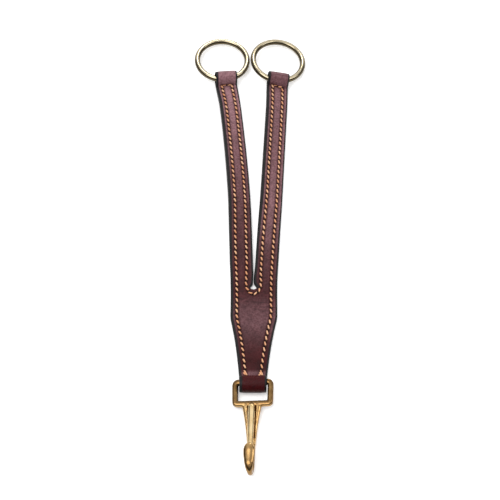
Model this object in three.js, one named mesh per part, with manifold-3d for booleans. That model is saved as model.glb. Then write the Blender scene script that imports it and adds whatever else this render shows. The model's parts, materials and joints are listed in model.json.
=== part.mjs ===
// A running-martingale attachment: a forked strap of two leather layers, a ring in the end of each
// arm, and a brass hook with a sprung tongue on the foot of the yoke. It lies face up.
//
// Millimetres. +X is across the strap, +Y runs up it from the hook towards the rings, +Z is out of
// its front face. The origin is on the back face, in the middle of the yoke.
import * as THREE from "three";
import { mergeVertices } from "three/addons/utils/BufferGeometryUtils.js";
import Module from "manifold-3d";

const wasm = await Module();
wasm.setup();

// Leather
const LAYER = 2.0; // thickness of one layer
const GLUE = 0.1; // between the two layers
const STRAP = 2 * LAYER + GLUE; // thickness of both
const ARM_WIDTH = 16.1;
const YOKE_WIDTH = 31.7;
const FOOT_WIDTH = 17.6; // where the foot goes round the eye of the hook
const YOKE_LEAN = 0.013; // sideways drift of the yoke's centreline for each millimetre up
const SHOULDER_Y = -9.5; // where the yoke starts to taper
const TAPER = new THREE.Vector2(11.0, -29.5); // pulls the taper inwards: half width and height

// Fork
const ARM_BASE_Y = 29; // where each arm's centreline is measured from
const HOLE = new THREE.Vector2(-0.1, 14.1); // punched at the foot of the slit
const HOLE_RADIUS = 2.2;
const SLIT = { foot: 0.8, top: 1.5 }; // width of the slit at the hole and at the flex line
const FLEX_Y = 32; // each arm bends about this line
const FLEX_GAP = 0.3;

// Each arm leaves the yoke at x, leans by lean and bows by bow, in millimetres for each millimetre up.
// Its ring hangs at ringX, and turns about a line across the arm at ringY.
const ARMS = {
  left: { x: -8.6, lean: -0.0199, bow: -0.000347, ringX: -22.6, ringY: 191.9 },
  right: { x: 8.75, lean: 0.0587, bow: 0, ringX: 19.55, ringY: 191.0 },
};

// Loops round the rings and the eye: a hollow with round ends, one layer thick all round
const LOOP_HOLLOW = 3.8; // half the height of the hollow
const LOOP_Z = LAYER + LOOP_HOLLOW; // height of the ring's and the eye's turning lines
const EYE_Y = -57.7; // turning line of the hook
const RING_REACH = 0.3; // from the turning line to the middle of the hollow's round end
const EYE_REACH = 0.3;
const LOOP_RISE = 8; // from the turning line back to where the front layer leaves the lining
const TAIL = 24; // from the turning line back to the end of the turned-under leather

// Rings
const WIRE = 2.15; // radius
const RING_RADIUS = 18.85; // to the middle of the wire
const RING_SAG = 1.45; // the ring hangs this far through its turning line
const RING_REST = 1.75; // its stiff loop holds the far side of a ring this far off the table

// Stitching: rows of thread, let into grooves
const ROW_INSET = 4.3; // from the edge of the leather
const THREAD = { half: 0.5, depth: 0.4, proud: 0.3 };
const GROOVE = { half: 0.75, depth: 0.55 };
const ROW_FOOT_Y = -50; // the rows end here, above the hook
const FORK_ROW = { halfWidth: 5.1, y: 15.5, drop: 7.8 }; // the row's turn round the punched hole
const CROSS_DROP = LOOP_RISE + 1; // from a ring's turning line down to the row across the arm

// Hook, in its own frame: the middle of the eye's top bar is its origin
const BAR = 2.0; // half thickness of the eye's bars
const EYE = { top: 13.6, foot: 13.0, windowHalf: 9.8, high: 2.2, low: -16.7, lowBar: -12.7 };
const BEVEL = 1.2;
const SHANK = { root: 7.0, waist: 4.4, end: 3.1, half: 2.2 };
const SHANK_Y = { root: -15, waist: -25, end: -40 };
const SHANK_X = -0.5; // the shank, its bend and its tongue are this far off the middle of the eye
const BEND = { y: -55.0, radius: 5.2 };
const TIP_Y = -43.6;
const TIP_SPLAY = 0.8; // the tip stands this far further out than the bend
const HOOK_ROLL = -8; // degrees: the hook lies a little on its left side
const HOOK_YAW = -1.2;
const HOOK_PITCH = 3.6; // its bend lies on the table
const TONGUE = { root: 2.5, end: 1.7, thick: 1.3, topY: -13.6, endY: -48.0 };
const TONGUE_Z = { root: 1.9, end: 8.3 };
const RIVET = { y: -17.5, radius: 1.0, head: 1.9, headHeight: 0.6 };
const CLEAR = 0.3; // between metal pieces that touch

const STEP = 12; // longest straight piece of a curved edge

// --- solids and geometry ---

/** A closed three.js geometry as a solid with its faces outwards. */
function solid(geometry) {
  const bare = geometry.index ? geometry.toNonIndexed() : geometry.clone();
  bare.deleteAttribute("normal");
  bare.deleteAttribute("uv");
  const merged = mergeVertices(bare, 1e-4);
  const triVerts = new Uint32Array(merged.index.array);
  const vertProperties = new Float32Array(merged.attributes.position.array);
  const made = new wasm.Manifold(new wasm.Mesh({ numProp: 3, vertProperties, triVerts }));
  if (made.volume() > 0) return made;
  triVerts.reverse();
  return new wasm.Manifold(new wasm.Mesh({ numProp: 3, vertProperties, triVerts }));
}

/** A solid back as a three.js geometry. */
function geometryOf(made) {
  const mesh = made.getMesh();
  const geometry = new THREE.BufferGeometry();
  geometry.setAttribute("position", new THREE.BufferAttribute(mesh.vertProperties, 3));
  geometry.setIndex(new THREE.BufferAttribute(mesh.triVerts, 1));
  geometry.computeVertexNormals();
  return geometry;
}

/** An outline in X and Y, standing from one height to another. */
function standing(shape, low, high) {
  const geometry = new THREE.ExtrudeGeometry(shape, { depth: high - low, bevelEnabled: false });
  return solid(geometry.translate(0, 0, low));
}

/** A side view, with its first axis along Y and its second along Z, run across from x0 to x1. */
function across(profile, x0, x1) {
  const geometry = new THREE.ExtrudeGeometry(profile, {
    depth: x1 - x0,
    bevelEnabled: false,
    curveSegments: 6,
  });
  const toPlace = new THREE.Matrix4().makeBasis(
    new THREE.Vector3(0, 1, 0),
    new THREE.Vector3(0, 0, 1),
    new THREE.Vector3(1, 0, 0),
  );
  return solid(geometry.applyMatrix4(toPlace).translate(x0, 0, 0));
}

/** A bar along a line in Y and Z. section(t) gives its centre, half width, half thickness, slope. */
function bar(section, steps, sides = 12) {
  const geometry = new THREE.CylinderGeometry(1, 1, 1, sides, steps);
  const position = geometry.attributes.position;
  for (let i = 0; i < position.count; i++) {
    const s = section(0.5 - position.getY(i));
    const out = position.getZ(i) * s.thick;
    position.setXYZ(
      i,
      position.getX(i) * s.width,
      s.y - out * Math.sin(s.slope),
      s.z + out * Math.cos(s.slope),
    );
  }
  return solid(geometry);
}

/** Evenly spaced numbers from a to b, both included, no further apart than STEP. */
function spaced(a, b, step = STEP) {
  const count = Math.ceil(Math.abs(b - a) / step);
  return Array.from({ length: count + 1 }, (_, i) => a + ((b - a) * i) / count);
}

/** A band of constant width that follows a line of points. */
function ribbon(points, half) {
  const left = [];
  const right = [];
  points.forEach((point, i) => {
    const before = points[Math.max(i - 1, 0)];
    const after = points[Math.min(i + 1, points.length - 1)];
    const into = point.clone().sub(before).normalize();
    const out = after.clone().sub(point).normalize();
    const along = into.add(out).normalize();
    const lengthOfLast = i > 0 ? point.clone().sub(before).normalize() : along;
    const mitre = half / Math.max(along.dot(lengthOfLast), 0.5);
    const side = new THREE.Vector2(-along.y, along.x).multiplyScalar(mitre);
    left.push(point.clone().add(side));
    right.push(point.clone().sub(side));
  });
  return new THREE.Shape([...left, ...right.reverse()]);
}

// --- leather outlines ---

const armX = (arm, y) =>
  arm.x + arm.lean * (y - ARM_BASE_Y) + arm.bow * (y - ARM_BASE_Y) ** 2;

/** Points up one side of the yoke, from the foot to the flex line, inset from its edge. */
function yokeSide(side, inset, fromY) {
  const taper = new THREE.QuadraticBezierCurve(
    new THREE.Vector2(FOOT_WIDTH / 2, EYE_Y),
    TAPER,
    new THREE.Vector2(YOKE_WIDTH / 2, SHOULDER_Y),
  );
  const points = [...taper.getPoints(8), new THREE.Vector2(YOKE_WIDTH / 2, FLEX_Y)];
  const placed = points.map(({ x, y }) => new THREE.Vector2(side * (x - inset) + YOKE_LEAN * y, y));
  const kept = placed.filter((point) => point.y > fromY);
  const next = kept[0];
  const last = placed[placed.indexOf(next) - 1];
  if (!last) return kept;
  const part = (fromY - last.y) / (next.y - last.y);
  return [last.clone().lerp(next, part), ...kept];
}

function yokeOutline() {
  const right = yokeSide(1, 0, EYE_Y);
  const left = yokeSide(-1, 0, EYE_Y).reverse();
  const foot = EYE_Y - LAYER - 2 * LOOP_HOLLOW;
  const outline = [
    new THREE.Vector2(left.at(-1).x, foot),
    new THREE.Vector2(right[0].x, foot),
    ...right,
    ...left,
  ];
  return new THREE.Shape(outline);
}

function armOutline(arm) {
  const heights = spaced(ARM_BASE_Y - 2, arm.ringY + LOOP_HOLLOW + 2 * LAYER);
  const edge = (half) => heights.map((y) => new THREE.Vector2(armX(arm, y) + half, y));
  return new THREE.Shape([...edge(ARM_WIDTH / 2), ...edge(-ARM_WIDTH / 2).reverse()]);
}

/** The slit between the arms and the hole that ends it, as one cutter. */
function forkCutter(low, high) {
  const slit = new THREE.Shape([
    new THREE.Vector2(HOLE.x - SLIT.foot / 2, HOLE.y),
    new THREE.Vector2(HOLE.x + SLIT.foot / 2, HOLE.y),
    new THREE.Vector2(HOLE.x + SLIT.top / 2, FLEX_Y),
    new THREE.Vector2(HOLE.x - SLIT.top / 2, FLEX_Y),
  ]);
  const hole = new THREE.CylinderGeometry(HOLE_RADIUS, HOLE_RADIUS, high - low, 12);
  hole.rotateX(Math.PI / 2).translate(HOLE.x, HOLE.y, (low + high) / 2);
  return standing(slit, low, high).add(solid(hole));
}

// --- leather side views ---

// The flex end of an arm is a half round, and this is the angle of it that half the glue line takes.
const HALF_GLUE = Math.asin(GLUE / STRAP);

/** The front layer from startY to a loop, round it and back under. way is 1 up the strap, -1 down. */
function loopedLayer(startY, turnY, way, reach, roundStart) {
  const at = (distance) => turnY + way * distance;
  const top = LOOP_Z + LOOP_HOLLOW + LAYER;
  const profile = new THREE.Shape();
  if (roundStart) {
    profile.absarc(startY, STRAP / 2, STRAP / 2, Math.PI - HALF_GLUE, Math.PI / 2, true);
  } else {
    profile.moveTo(startY, LAYER + GLUE);
    profile.lineTo(startY, STRAP);
  }
  profile.lineTo(at(-LOOP_RISE), STRAP);
  profile.bezierCurveTo(at(-0.7 * LOOP_RISE), STRAP, at(-0.7 * LOOP_RISE), top, at(-1), top);
  profile.lineTo(at(reach), top);
  profile.absarc(at(reach), LOOP_Z, LOOP_HOLLOW + LAYER, Math.PI / 2, -Math.PI / 2, way > 0);
  profile.lineTo(at(-TAIL), 0);
  profile.lineTo(at(-TAIL), LAYER + GLUE);
  return profile;
}

/** The hollow of a loop, pointed where its two layers meet. */
function loopHollow(turnY, way, reach) {
  const at = (distance) => turnY + way * distance;
  const top = LOOP_Z + LOOP_HOLLOW;
  const hollow = new THREE.Shape();
  hollow.moveTo(at(-0.8 * LOOP_RISE), LAYER);
  hollow.bezierCurveTo(at(-0.6 * LOOP_RISE), LAYER, at(-0.55 * LOOP_RISE), top, at(-1), top);
  hollow.lineTo(at(reach), top);
  hollow.absarc(at(reach), LOOP_Z, LOOP_HOLLOW, Math.PI / 2, -Math.PI / 2, way > 0);
  return hollow;
}

/** The lining, from one flat end to the other. */
function liningLayer(fromY, toY, roundStart) {
  const profile = new THREE.Shape();
  profile.moveTo(toY, 0);
  profile.lineTo(toY, LAYER);
  if (roundStart) {
    profile.absarc(fromY, STRAP / 2, STRAP / 2, Math.PI + HALF_GLUE, 1.5 * Math.PI, false);
  } else {
    profile.lineTo(fromY, LAYER);
    profile.lineTo(fromY, 0);
  }
  return profile;
}

// --- stitching rows ---

function armRow(arm) {
  const half = ARM_WIDTH / 2 - ROW_INSET;
  const heights = spaced(FLEX_Y + 0.5, arm.ringY - CROSS_DROP);
  const side = (offset) => heights.map((y) => new THREE.Vector2(armX(arm, y) + offset, y));
  return [...side(-half), ...side(half).reverse()];
}

function yokeRow(side) {
  const topY = FLEX_Y - STRAP / 2 - FLEX_GAP - 0.5;
  const points = yokeSide(side, ROW_INSET, ROW_FOOT_Y);
  points.at(-1).y = topY;
  return points;
}

/** Down the inside of one arm, round the punched hole and up the inside of the other. */
function forkRow() {
  const topY = FLEX_Y - STRAP / 2 - FLEX_GAP - 0.5;
  const turn = new THREE.EllipseCurve(
    HOLE.x,
    FORK_ROW.y,
    FORK_ROW.halfWidth,
    FORK_ROW.drop,
    Math.PI,
    2 * Math.PI,
  );
  const half = ARM_WIDTH / 2 - ROW_INSET;
  return [
    new THREE.Vector2(ARMS.left.x + half, topY),
    ...turn.getPoints(10),
    new THREE.Vector2(ARMS.right.x - half, topY),
  ];
}

const frontGroove = (row) => standing(ribbon(row, GROOVE.half), STRAP - GROOVE.depth, STRAP + 1);
const backGroove = (row) => standing(ribbon(row, GROOVE.half), -1, GROOVE.depth);
const frontThread = (row) =>
  standing(ribbon(row, THREAD.half), STRAP - THREAD.depth, STRAP + THREAD.proud);
const backThread = (row) => standing(ribbon(row, THREAD.half), 0.02, THREAD.depth);

// --- hook pieces, in the hook's own frame ---

function eye() {
  const corner = 3.6;
  const frame = new THREE.Shape();
  frame.moveTo(-EYE.foot, EYE.low);
  frame.lineTo(EYE.foot, EYE.low);
  frame.lineTo(EYE.top, EYE.high - corner);
  frame.quadraticCurveTo(EYE.top, EYE.high, EYE.top - corner, EYE.high);
  frame.lineTo(corner - EYE.top, EYE.high);
  frame.quadraticCurveTo(-EYE.top, EYE.high, -EYE.top, EYE.high - corner);
  const opening = new THREE.Path();
  opening.moveTo(-EYE.windowHalf, EYE.lowBar);
  opening.lineTo(-EYE.windowHalf, -EYE.high);
  opening.lineTo(EYE.windowHalf, -EYE.high);
  opening.lineTo(EYE.windowHalf, EYE.lowBar);
  frame.holes.push(opening);
  const geometry = new THREE.ExtrudeGeometry(frame, {
    depth: 2 * (BAR - BEVEL),
    bevelSize: BEVEL,
    bevelOffset: -BEVEL,
    bevelThickness: BEVEL,
    bevelSegments: 2,
    curveSegments: 4,
  });
  return solid(geometry.translate(0, 0, BEVEL - BAR));
}

/** Half width of the shank, or of the channel in it, where inset is taken off each side. */
function shankOutline(inset) {
  const side = (way) =>
    new THREE.QuadraticBezierCurve(
      new THREE.Vector2(way * (SHANK.root - inset), SHANK_Y.root),
      new THREE.Vector2(way * (SHANK.waist - inset), SHANK_Y.waist),
      new THREE.Vector2(way * (SHANK.end - inset), SHANK_Y.end),
    ).getPoints(6);
  return new THREE.Shape([...side(1), ...side(-1).reverse()]);
}

/** The channel for the tongue, open to the front. It runs down into the front of the bend. */
function channel() {
  const room = 0.6;
  const outline = new THREE.Shape([
    new THREE.Vector2(-TONGUE.root - room, TONGUE.topY + room),
    new THREE.Vector2(TONGUE.root + room, TONGUE.topY + room),
    new THREE.Vector2(TONGUE.end + room, SHANK_Y.end - 4),
    new THREE.Vector2(-TONGUE.end - room, SHANK_Y.end - 4),
  ]);
  return standing(outline, 0.3, SHANK.half + 2);
}

/** The round of the shank's end, the bend and the leaf-shaped tip, as one tapering bar. */
function bendAndTip() {
  const straight = SHANK_Y.end + 4 - BEND.y;
  const turn = Math.PI * BEND.radius;
  const tip = TIP_Y - BEND.y;
  const total = straight + turn + tip;
  return bar((t) => {
    const s = t * total;
    const leaf = Math.max(0, (s - straight - turn * 0.6) / (total - straight - turn * 0.6));
    const endRound = Math.sqrt(Math.max(0.02, 1 - Math.max(0, (leaf - 0.72) / 0.28) ** 2));
    const width = THREE.MathUtils.lerp(SHANK.end - 0.2, 2.3, Math.min(1, s / (straight + turn / 2)));
    const size = {
      width: (width + 0.9 * Math.sin(Math.min(1, leaf * 1.3) * Math.PI * 0.5)) * endRound,
      thick: THREE.MathUtils.lerp(SHANK.half, 1.3, leaf) * endRound,
    };
    if (s < straight) {
      return { ...size, y: SHANK_Y.end + 4 - s, z: 0, slope: Math.PI };
    }
    if (s < straight + turn) {
      const angle = (s - straight) / BEND.radius;
      return {
        ...size,
        y: BEND.y - BEND.radius * Math.sin(angle),
        z: BEND.radius * (1 - Math.cos(angle)),
        slope: Math.PI - angle,
      };
    }
    const along = s - straight - turn;
    return { ...size, y: BEND.y + along, z: 2 * BEND.radius + TIP_SPLAY * (along / tip) ** 2, slope: 0 };
  }, 30);
}

function rivetHole() {
  const radius = RIVET.radius + CLEAR;
  const hole = new THREE.CylinderGeometry(radius, radius, 4 * SHANK.half, 12);
  return solid(hole.rotateX(Math.PI / 2).translate(0, RIVET.y, 0));
}

const besideEye = (made) => made.translate([SHANK_X, 0, 0]);

function hookBody() {
  const shank = standing(shankOutline(0), -SHANK.half, SHANK.half).add(bendAndTip());
  return eye().add(besideEye(shank)).subtract(besideEye(channel().add(rivetHole())));
}

/** A leaf that starts in an arched end in the eye and rises to close the mouth behind the tip. */
function hookTongue() {
  const length = TONGUE.topY - TONGUE.endY;
  const leaf = bar((t) => {
    const arch = Math.sqrt(Math.min(1, 0.03 + t / 0.08));
    const close = Math.sqrt(Math.min(1, 0.05 + (1 - t) / 0.06));
    return {
      y: TONGUE.topY - t * length,
      z: THREE.MathUtils.lerp(TONGUE_Z.root, TONGUE_Z.end, t) - 1.0 * Math.sin(Math.PI * t),
      width: THREE.MathUtils.lerp(TONGUE.root, TONGUE.end, t) * arch * close,
      thick: (TONGUE.thick / 2) * close,
      slope: -Math.atan2(TONGUE_Z.end - TONGUE_Z.root, length),
    };
  }, 14);
  return besideEye(leaf);
}

/** Its head is at the back of the shank, and it ends under the root of the tongue. */
function tongueRivet() {
  const top = TONGUE_Z.root - TONGUE.thick / 2 - CLEAR;
  const back = -SHANK.half - CLEAR;
  const profile = [
    new THREE.Vector2(0, back - RIVET.headHeight),
    new THREE.Vector2(RIVET.head * 0.7, back - RIVET.headHeight),
    new THREE.Vector2(RIVET.head, back),
    new THREE.Vector2(RIVET.radius, back),
    new THREE.Vector2(RIVET.radius, top),
    new THREE.Vector2(0, top),
  ];
  const turned = new THREE.LatheGeometry(profile, 12).rotateX(Math.PI / 2);
  return besideEye(solid(turned.translate(0, RIVET.y, 0)));
}

// --- materials and assembly ---

const leather = () =>
  new THREE.MeshStandardMaterial({ color: 0x4a1f24, roughness: 0.45, metalness: 0 });
const thread = () =>
  new THREE.MeshStandardMaterial({ color: 0xd9975c, roughness: 0.75, metalness: 0 });
const brass = () =>
  new THREE.MeshStandardMaterial({ color: 0xb9853c, roughness: 0.25, metalness: 1 });
const paleBrass = () =>
  new THREE.MeshStandardMaterial({ color: 0xd8c79a, roughness: 0.15, metalness: 1 });

function piece(name, made, material) {
  const mesh = new THREE.Mesh(geometryOf(made), material);
  mesh.name = name;
  return mesh;
}

function stitching(name, row) {
  return [
    piece(`${name}_front_stitching`, frontThread(row), thread()),
    piece(`${name}_back_stitching`, backThread(row), thread()),
  ];
}

function yoke() {
  const rows = { yoke_left: yokeRow(-1), yoke_right: yokeRow(1), fork: forkRow() };
  const topY = FLEX_Y - STRAP / 2 - FLEX_GAP;
  const outline = standing(yokeOutline(), -1, 2 * LOOP_Z);
  const cutter = forkCutter(-1, STRAP + 1);
  let front = across(loopedLayer(topY, EYE_Y, -1, EYE_REACH, false), -YOKE_WIDTH, YOKE_WIDTH)
    .subtract(across(loopHollow(EYE_Y, -1, EYE_REACH), -YOKE_WIDTH, YOKE_WIDTH))
    .intersect(outline)
    .subtract(cutter);
  let lining = across(liningLayer(EYE_Y + TAIL + CLEAR, topY, false), -YOKE_WIDTH, YOKE_WIDTH)
    .intersect(outline)
    .subtract(cutter);
  for (const row of Object.values(rows)) {
    front = front.subtract(frontGroove(row)).subtract(backGroove(row));
    lining = lining.subtract(backGroove(row));
  }
  return [
    piece("yoke_front", front, leather()),
    piece("yoke_lining", lining, leather()),
    ...Object.entries(rows).flatMap(([name, row]) => stitching(name, row)),
  ];
}

function armPieces(name, arm) {
  const row = armRow(arm);
  const outline = standing(armOutline(arm), -1, 2 * LOOP_Z);
  const wide = 3 * ARM_WIDTH;
  const front = across(loopedLayer(FLEX_Y, arm.ringY, 1, RING_REACH, true), -wide, wide)
    .subtract(across(loopHollow(arm.ringY, 1, RING_REACH), -wide, wide))
    .intersect(outline)
    .subtract(frontGroove(row))
    .subtract(backGroove(row));
  const lining = across(liningLayer(FLEX_Y, arm.ringY - TAIL - CLEAR, true), -wide, wide)
    .intersect(outline)
    .subtract(backGroove(row));
  return [
    piece(`${name}_arm_front`, front, leather()),
    piece(`${name}_arm_lining`, lining, leather()),
    ...stitching(`${name}_arm`, row),
  ];
}

/** A ring, hung on its turning line with its far side near the table. */
function ring(name, arm) {
  const toCentre = RING_RADIUS - RING_SAG;
  const far = toCentre + RING_RADIUS;
  const group = new THREE.Group();
  group.position.set(arm.ringX, arm.ringY, LOOP_Z);
  group.rotation.x = -Math.asin((LOOP_Z - WIRE - RING_REST) / far);
  const mesh = new THREE.Mesh(new THREE.TorusGeometry(RING_RADIUS, WIRE, 10, 40), paleBrass());
  mesh.name = `${name}_ring`;
  mesh.position.y = toCentre;
  group.add(mesh);
  return group;
}

/** The hook, hung on the foot of the yoke. */
function hook() {
  const group = new THREE.Group();
  group.position.set(YOKE_LEAN * EYE_Y, EYE_Y, LOOP_Z);
  const radians = [HOOK_PITCH, HOOK_ROLL, HOOK_YAW].map(THREE.MathUtils.degToRad);
  group.rotation.set(...radians, "ZYX");
  group.add(
    piece("hook_body", hookBody(), brass()),
    piece("hook_tongue", hookTongue(), brass()),
    piece("tongue_rivet", tongueRivet(), brass()),
  );
  return group;
}

const martingale = new THREE.Group();
martingale.add(...yoke());
for (const [name, arm] of Object.entries(ARMS)) {
  martingale.add(...armPieces(name, arm), ring(name, arm));
}
martingale.add(hook());

export default martingale;
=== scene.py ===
"""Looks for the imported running-martingale attachment.

Every length is in millimetres until a mesh is made. +X is across the strap, +Y runs up it from the
hook towards the rings, and +Z is out of its front face.
"""
import json
import math
import random
from functools import partial

import bmesh
import bpy
import numpy as np
from mathutils import Euler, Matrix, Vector, kdtree


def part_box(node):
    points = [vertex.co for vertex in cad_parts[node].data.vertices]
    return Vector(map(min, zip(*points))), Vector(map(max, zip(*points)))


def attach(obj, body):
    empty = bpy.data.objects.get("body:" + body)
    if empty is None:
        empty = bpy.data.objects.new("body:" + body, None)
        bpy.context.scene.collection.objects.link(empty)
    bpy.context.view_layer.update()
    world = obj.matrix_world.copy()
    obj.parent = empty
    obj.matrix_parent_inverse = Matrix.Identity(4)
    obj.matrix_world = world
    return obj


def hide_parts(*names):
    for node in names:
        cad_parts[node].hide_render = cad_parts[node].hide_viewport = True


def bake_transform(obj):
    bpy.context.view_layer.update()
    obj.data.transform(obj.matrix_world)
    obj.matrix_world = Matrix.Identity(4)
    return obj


MM = 0.001

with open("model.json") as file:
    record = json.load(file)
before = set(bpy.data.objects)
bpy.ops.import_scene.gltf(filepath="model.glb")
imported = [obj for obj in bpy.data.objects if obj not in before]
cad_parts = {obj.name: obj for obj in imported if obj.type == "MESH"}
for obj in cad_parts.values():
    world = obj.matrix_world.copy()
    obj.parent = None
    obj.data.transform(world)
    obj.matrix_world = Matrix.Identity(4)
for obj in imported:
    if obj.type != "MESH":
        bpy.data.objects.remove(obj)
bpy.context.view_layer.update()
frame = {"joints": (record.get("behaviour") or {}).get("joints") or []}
JOINTS = {joint["name"]: joint for joint in frame["joints"]}


def low(node):
    return np.array(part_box(node)[0]) / MM


def high(node):
    return np.array(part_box(node)[1]) / MM


def pivot(joint):
    return np.array(JOINTS[joint]["pos_m"]) / MM


# --- sizes, worked from the frame ---

LAYER = high("yoke_lining")[2]  # the thickness of one layer of leather
GLUE = 0.1
STRAP = 2 * LAYER + GLUE
LOOP_Z = pivot("left_ring_swing")[2]  # the middle of every loop stands this high
EYE_Y = pivot("hook_swing")[1]
FLEX_Y = pivot("left_arm_flex")[1]
EYE_FOLD_Y = low("yoke_front")[1]
EYE_LINING_Y = low("yoke_lining")[1]
LINING_GAP = 0.3  # from the end of the lining to the turned-under tail
PARED = 1.1  # the front layer is this much thinner inside its folds,
PARED_FROM = 6.0  # from this far before the turning line
SPAN = float(high("left_ring")[1] - low("hook_body")[1])

ARM_WIDTH = 16.1
YOKE_HALF = 15.85  # half the width of the yoke at its shoulder,
SHOULDER_Y = -9.5
FOOT_HALF = 8.8  # and at the hook,
TAPER_PULL = (11.0, -29.5)  # with its curved side pulled towards this place between them
YOKE_LEAN = 0.013
ARM_BASE_Y = FLEX_Y - 3
# How each arm leans and bows sideways as it rises, and the roll in degrees and the skew of its end.
ARMS = {
    "left": {"side": -1, "lean": -0.0199, "bow": -0.000347, "end_twist": 5.5, "skew": 0.15},
    "right": {"side": 1, "lean": 0.0587, "bow": 0.0, "end_twist": 8.0, "skew": -0.08},
}
ARM_TWIST = 16.0  # degrees: each arm lies rolled to its right by this much between its ends
ARM_SHIFT = -0.45  # and it has slid this far across
FOLD_TUCK = {"left": 1.0, "right": 1.6}  # the soft loops lie closer to their rings than in the CAD,
FOOT_SLACK = 0.9  # and the foot's loop hangs lower round its eye
HOLE = (-0.3, 13.7)  # the middle of the punched hole of the fork
HOLE_RADIUS = 2.0
SLIT_HALF = 0.7  # half the width of the slit where it leaves the hole
TEAR = math.radians(32)  # the hole narrows into the slit like a tear, at this half angle

SEAM_Y = HOLE[1] - HOLE_RADIUS - 0.9  # the yoke piece ends here and the two arm pieces start

# Between these heights an arm
ARM_PARTS = (-5, 40)  # leaves the line of the yoke's edge,
ARM_ROLLS = (40, 90)  # takes its twist,
ARM_UNROLLS = (165, 190)  # goes over to the twist of its end,
ARM_SKEWS = (150, 186)  # and takes its skew.

# --- camera ---


def linked(name, data):
    thing = bpy.data.objects.new(name, data)
    bpy.context.scene.collection.objects.link(thing)
    return thing


def add_camera():
    """The camera looks down the strap from 60 degrees up, a little left of its middle."""
    elevation = math.radians(60)
    distance = 2.3039 * SPAN * MM
    target = Vector((-2.7, 45.0, 0.0)) * MM
    data = bpy.data.cameras.new("camera")
    data.lens = 83.14
    data.sensor_width = 36
    camera = linked("camera", data)
    back = Vector((0, -math.cos(elevation), math.sin(elevation)))
    camera.location = target + distance * back
    camera.rotation_euler = (math.pi / 2 - elevation, 0, 0)
    bpy.context.scene.camera = camera


add_camera()

# --- curves and outlines ---


def round_angles(count):
    return np.linspace(0, 2 * math.pi, count, endpoint=False)


def smooth(t):
    """0 before 0, 1 after 1, and smooth in between."""
    t = np.clip(t, 0, 1)
    return t * t * (3 - 2 * t)


def ramp(y, heights):
    """0 below the lower height, 1 above the upper one, and smooth in between."""
    start, end = heights
    return smooth((y - start) / (end - start))


def bezier(points, t):
    """A Bezier curve of any degree at the parameters t, by repeated interpolation."""
    t = np.asarray(t, float)[:, None]
    level = [np.asarray(p, float)[None, :] + 0 * t for p in points]
    while len(level) > 1:
        level = [a + (b - a) * t for a, b in zip(level, level[1:])]
    return level[0]


def travelled_along(points):
    """How far along a line each of its points is."""
    lengths = np.linalg.norm(np.diff(points, axis=0), axis=1)
    return np.concatenate([[0], np.cumsum(lengths)])


def resampled(points, pitch):
    """Points at equal distances along a line, about a pitch apart, both ends included."""
    points = np.asarray(points, float)
    travelled = travelled_along(points)
    count = max(1, round(travelled[-1] / pitch))
    at = np.linspace(0, travelled[-1], count + 1)
    return np.stack([np.interp(at, travelled, points[:, k]) for k in range(points.shape[1])], 1)


def unit(vectors):
    return vectors / np.linalg.norm(vectors, axis=-1, keepdims=True)


def turned(directions):
    """Directions in a plane turned a quarter to the left."""
    return np.stack([-directions[..., 1], directions[..., 0]], -1)


TAPER = bezier([(FOOT_HALF, EYE_Y), TAPER_PULL, (YOKE_HALF, SHOULDER_Y)], np.linspace(0, 1, 40))


def yoke_half(y):
    """Half the width of the yoke at a height, its shoulder a little softened."""
    near = np.asarray(y)[..., None] + np.arange(-2.0, 3.0)
    return np.interp(near, TAPER[:, 1], TAPER[:, 0]).mean(-1)


def arm_x(arm, y):
    """The centreline of an arm."""
    rise = np.asarray(y) - ARM_BASE_Y
    return pivot(f"{arm}_arm_flex")[0] + ARMS[arm]["lean"] * rise + ARMS[arm]["bow"] * rise**2


def outer_x(arm, y):
    """The outer edge of an arm, and of the yoke below it."""
    side = ARMS[arm]["side"]
    y = np.asarray(y)
    on_yoke = side * yoke_half(y) + YOKE_LEAN * y
    on_arm = arm_x(arm, y) + side * ARM_WIDTH / 2
    return on_yoke + (on_arm - on_yoke) * ramp(y, ARM_PARTS)


def inner_x(arm, y):
    """The inner edge of an arm: the middle below the hole, then the hole, the slit and the arm."""
    side = ARMS[arm]["side"]
    y = np.asarray(y, float)
    above = y - HOLE[1]
    circle = np.sqrt(np.clip(HOLE_RADIUS**2 - above**2, 0, None))
    narrowing = (HOLE_RADIUS / math.sin(TEAR) - above) * math.tan(TEAR)
    hole = np.where(above > HOLE_RADIUS * math.sin(TEAR), narrowing, circle)
    slit_foot = HOLE[0] - side * SLIT_HALF
    base = arm_x(arm, ARM_BASE_Y) - side * ARM_WIDTH / 2
    up_slit = slit_foot + (base - slit_foot) * (y - HOLE[1]) / (ARM_BASE_Y - HOLE[1])
    on_arm = arm_x(arm, y) - side * ARM_WIDTH / 2
    slit = np.where(y < ARM_BASE_Y, up_slit, on_arm)
    cut = np.where(y < HOLE[1], 0, np.abs(slit - HOLE[0]))
    return HOLE[0] + side * np.maximum(hole, cut)


def arm_edges(arm):
    """The left and the right edge of an arm, each as a function of the height."""
    edges = partial(outer_x, arm), partial(inner_x, arm)
    return edges if arm == "left" else edges[::-1]


YOKE_EDGES = partial(outer_x, "left"), partial(outer_x, "right")

# --- the way each strap runs ---

RING_RISE = 6.2  # the front layer rises over this distance before a ring's turning line
EYE_RISE = 5.2  # and over this distance before the hook's


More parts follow.
